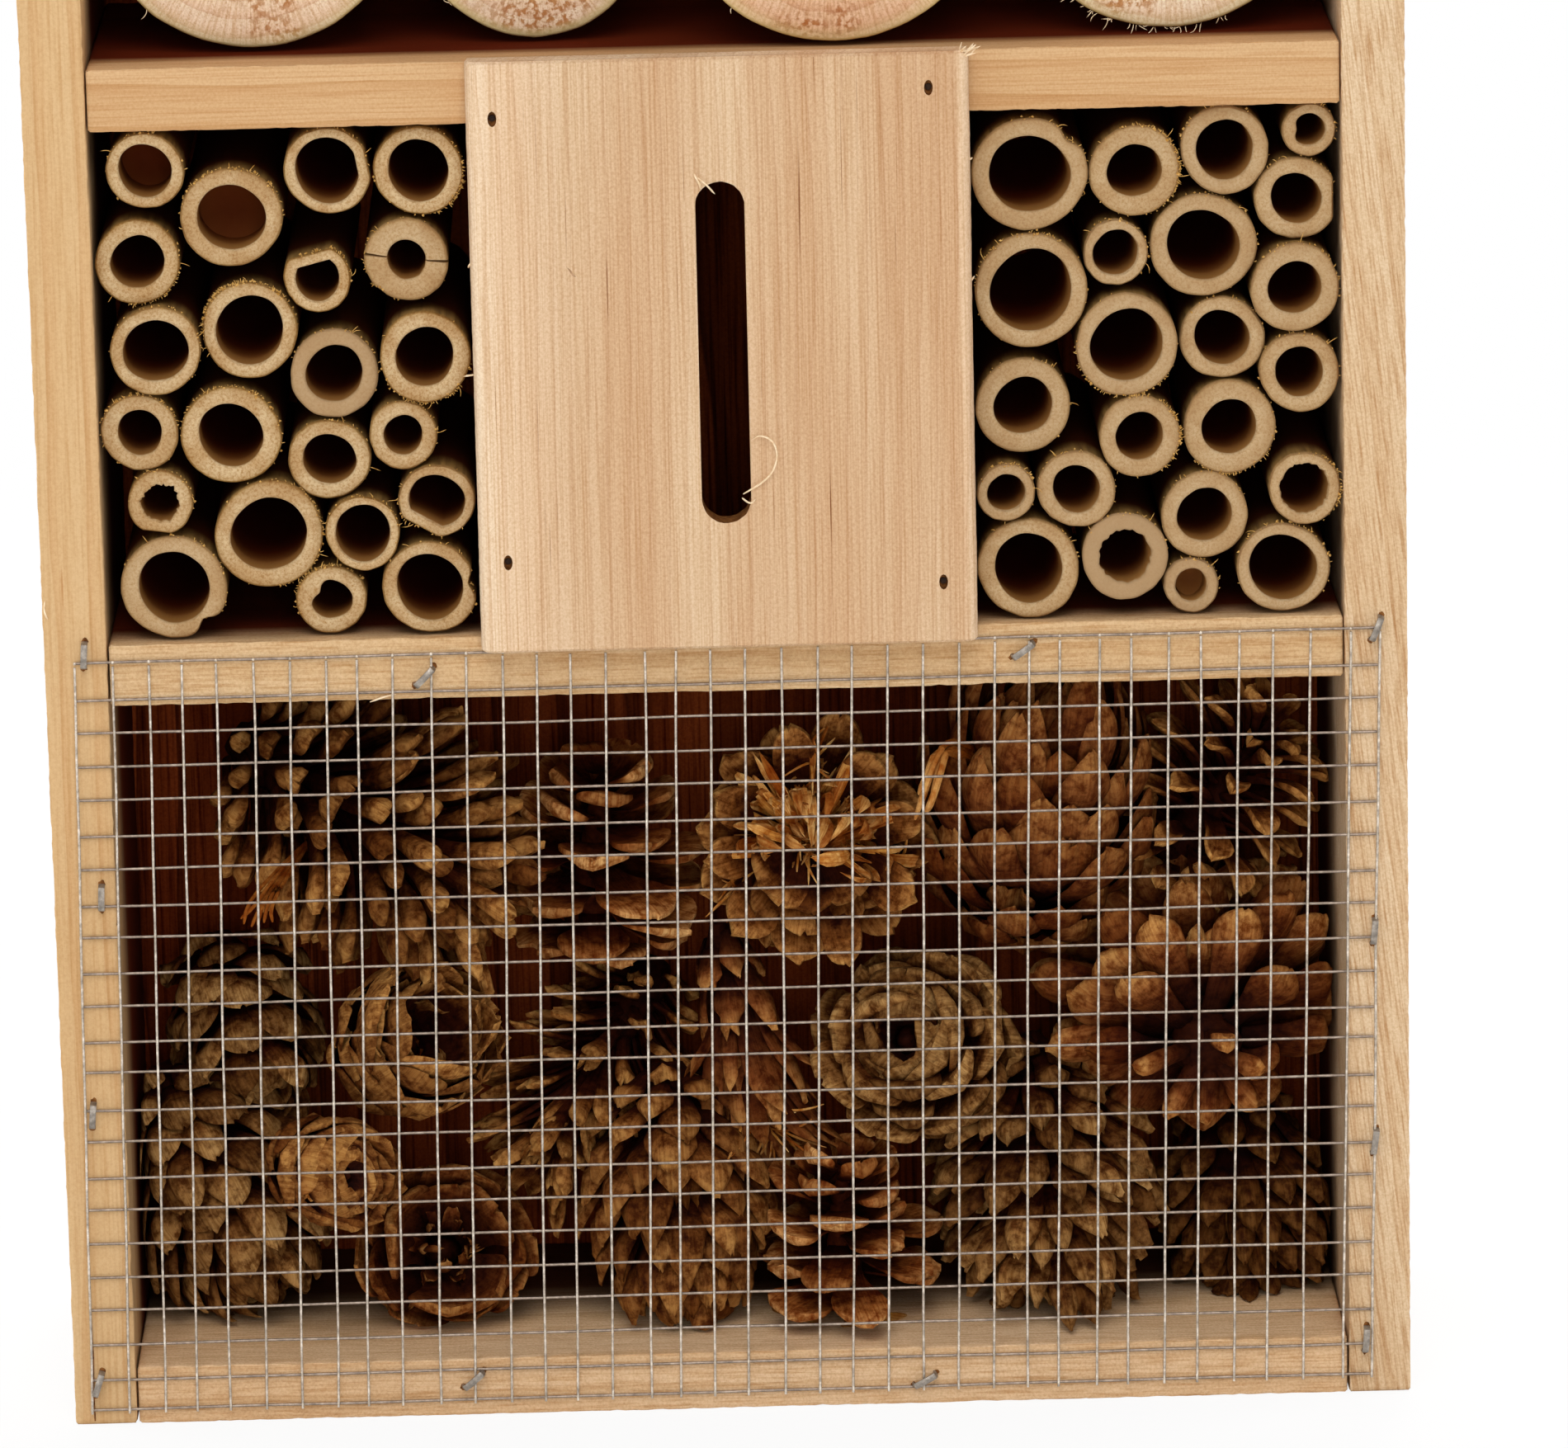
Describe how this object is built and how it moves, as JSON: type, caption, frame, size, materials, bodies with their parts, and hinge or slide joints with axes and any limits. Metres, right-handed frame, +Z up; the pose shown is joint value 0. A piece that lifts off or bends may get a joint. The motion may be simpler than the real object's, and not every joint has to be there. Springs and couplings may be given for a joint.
{
  "type": "insect hotel",
  "caption": "Gable-roofed wooden insect hotel with pine cones behind wire mesh, bamboo tubes either side of a slotted butterfly box, and a row of logs above.",
  "frame": {"origin": "centre of the overall box at the underside of the bottom board, where the hotel stands", "axes": "+Z up, +Y towards the back panel and the wall it hangs on, +X to the right of someone facing the front"},
  "size_m": [0.2974, 0.0904, 0.4692],
  "materials": {
    "carcass": "sawn fir, matt",
    "roof": "sawn fir, matt",
    "panel": "planed fir, matt",
    "back": "dark stained board, matt",
    "bamboo": "sawn bamboo, matt",
    "log": "sawn end grain, rough",
    "pine_cone": "dry cone scales, matt",
    "wire": "galvanised wire"
  },
  "bodies": {
    "root": {"attic_floor": "carcass", "back_panel": "back", "bamboo_left_01": "bamboo", "bamboo_left_02": "bamboo", "bamboo_left_03": "bamboo", "bamboo_left_04": "bamboo", "bamboo_left_05": "bamboo", "bamboo_left_06": "bamboo", "bamboo_left_07": "bamboo", "bamboo_left_08": "bamboo", "bamboo_left_09": "bamboo", "bamboo_left_10": "bamboo", "bamboo_left_11": "bamboo", "bamboo_right_01": "bamboo", "bamboo_right_02": "bamboo", "bamboo_right_03": "bamboo", "bamboo_right_04": "bamboo", "bamboo_right_05": "bamboo", "bamboo_right_06": "bamboo", "bamboo_right_07": "bamboo", "bamboo_right_08": "bamboo", "bamboo_right_09": "bamboo", "bamboo_right_10": "bamboo", "bamboo_right_11": "bamboo", "bamboo_right_12": "bamboo", "bottom_board": "carcass", "butterfly_panel": "panel", "gable_board": "carcass", "left_divider": "carcass", "left_roof_board": "roof", "left_side_board": "carcass", "log_1": "log", "log_2": "log", "log_3": "log", "log_4": "log", "lower_shelf": "carcass", "pine_cone_01": "pine_cone", "pine_cone_02": "pine_cone", "pine_cone_03": "pine_cone", "pine_cone_04": "pine_cone", "pine_cone_05": "pine_cone", "pine_cone_06": "pine_cone", "pine_cone_07": "pine_cone", "pine_cone_08": "pine_cone", "pine_cone_09": "pine_cone", "pine_cone_10": "pine_cone", "pine_cone_11": "pine_cone", "pine_cone_12": "pine_cone", "pine_cone_13": "pine_cone", "pine_cone_14": "pine_cone", "pine_cone_15": "pine_cone", "pine_cone_16": "pine_cone", "pine_cone_17": "pine_cone", "pine_cone_18": "pine_cone", "right_divider": "carcass", "right_roof_board": "roof", "right_side_board": "carcass", "upper_shelf": "carcass", "wire_mesh": "wire"}
  },
  "joints": []
}
